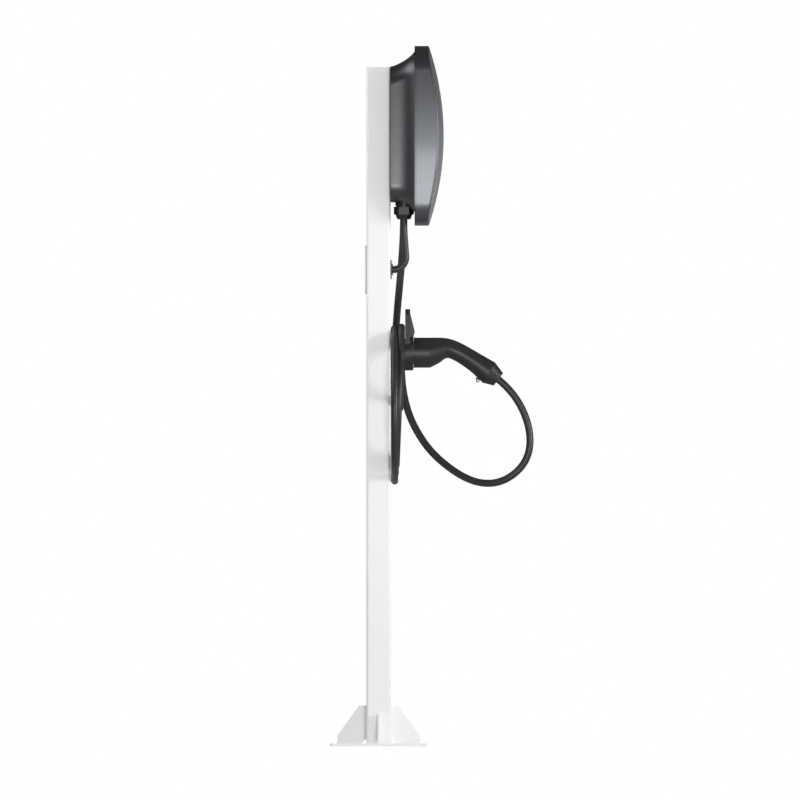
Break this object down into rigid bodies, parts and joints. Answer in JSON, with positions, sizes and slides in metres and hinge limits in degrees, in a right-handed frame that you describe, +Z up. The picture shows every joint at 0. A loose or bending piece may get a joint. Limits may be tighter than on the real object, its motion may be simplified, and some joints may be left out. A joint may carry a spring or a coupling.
{
  "type": "ev charging post",
  "caption": "Free-standing car charging post: steel post on a bolted base, wall-box charger, cable holster with a coiled cable and a pull-out connector.",
  "frame": {"origin": "middle of the base plate's underside, on the post's axis, where the anchor pattern is centred", "axes": "+Z up along the post; -Y is the charger's front; X across the post"},
  "size_m": [0.315, 0.4199, 1.4434],
  "materials": {
    "post_white_coat": "semi-gloss powder coat",
    "housing_grey": "fine metallic grey moulding",
    "cover_metallic": "satin metallic blue-grey",
    "panel_gloss": "smoked gloss",
    "light_pipe": "frosted diffuser",
    "seal_rubber": "matt",
    "plate_dark": "matt coat",
    "screw_steel": "zinc plated",
    "bracket_steel": "zinc plated",
    "board_green": "solder mask",
    "component_dark": "moulded",
    "terminal_grey": "moulded",
    "core_insulation": "PVC",
    "gland_black": "moulded nylon",
    "holster_black": "fine texture",
    "connector_black": "fine texture",
    "contact_brass": "silver plated",
    "cable_black": "polyurethane sheath"
  },
  "bodies": {
    "post": {"antenna_board": "board_green", "base_plate": "post_white_coat", "board_standoffs": "screw_steel", "bracket_screws": "screw_steel", "cable_entry_plate": "plate_dark", "capacitors": "component_dark", "charger_terminals": "terminal_grey", "charger_wiring": "core_insulation", "charging_cable_coil_big": "cable_black", "charging_cable_coil_small": "cable_black", "charging_cable_drop": "cable_black", "charging_cable_loop": "cable_black", "charging_gland_body": "gland_black", "charging_gland_nut": "gland_black", "charging_gland_seal": "seal_rubber", "cover_screws": "screw_steel", "current_sensor": "component_dark", "din_rail": "bracket_steel", "earth_stud": "screw_steel", "entry_grommet": "seal_rubber", "entry_screws": "screw_steel", "front_cover": "cover_metallic", "front_panel": "panel_gloss", "gland_locknuts": "gland_black", "gusset_front": "post_white_coat", "gusset_left": "post_white_coat", "gusset_rear": "post_white_coat", "gusset_right": "post_white_coat", "holster_cup": "holster_black", "holster_hub": "holster_black", "holster_screws": "screw_steel", "housing_seal": "seal_rubber", "light_board": "board_green", "main_board": "board_green", "post_cores": "core_insulation", "post_terminals": "terminal_grey", "post_tube": "post_white_coat", "power_relays": "component_dark", "power_supply": "component_dark", "rail_screws": "screw_steel", "rear_housing": "housing_grey", "service_cover": "post_white_coat", "service_gasket": "seal_rubber", "service_screws": "screw_steel", "status_light": "light_pipe", "supply_gland_body": "gland_black", "supply_gland_nut": "gland_black", "supply_gland_seal": "seal_rubber", "supply_lead": "cable_black", "top_cap": "post_white_coat", "wall_bracket": "bracket_steel"},
    "connector": {"connector_collar": "connector_black", "connector_end_cap": "connector_black", "connector_nose": "connector_black", "connector_side_pads": "connector_black", "contact_insulator": "connector_black", "contact_sleeves": "contact_brass", "handle_shell_left": "connector_black", "handle_shell_right": "connector_black", "strap_eyelet": "connector_black"}
  },
  "joints": [
    {"name": "connector_pull", "type": "slide", "parent": "post", "child": "connector", "axis": [0, -1, 0], "range_m": [0, 0.05], "deforming": ["charging_cable_loop"]}
  ]
}
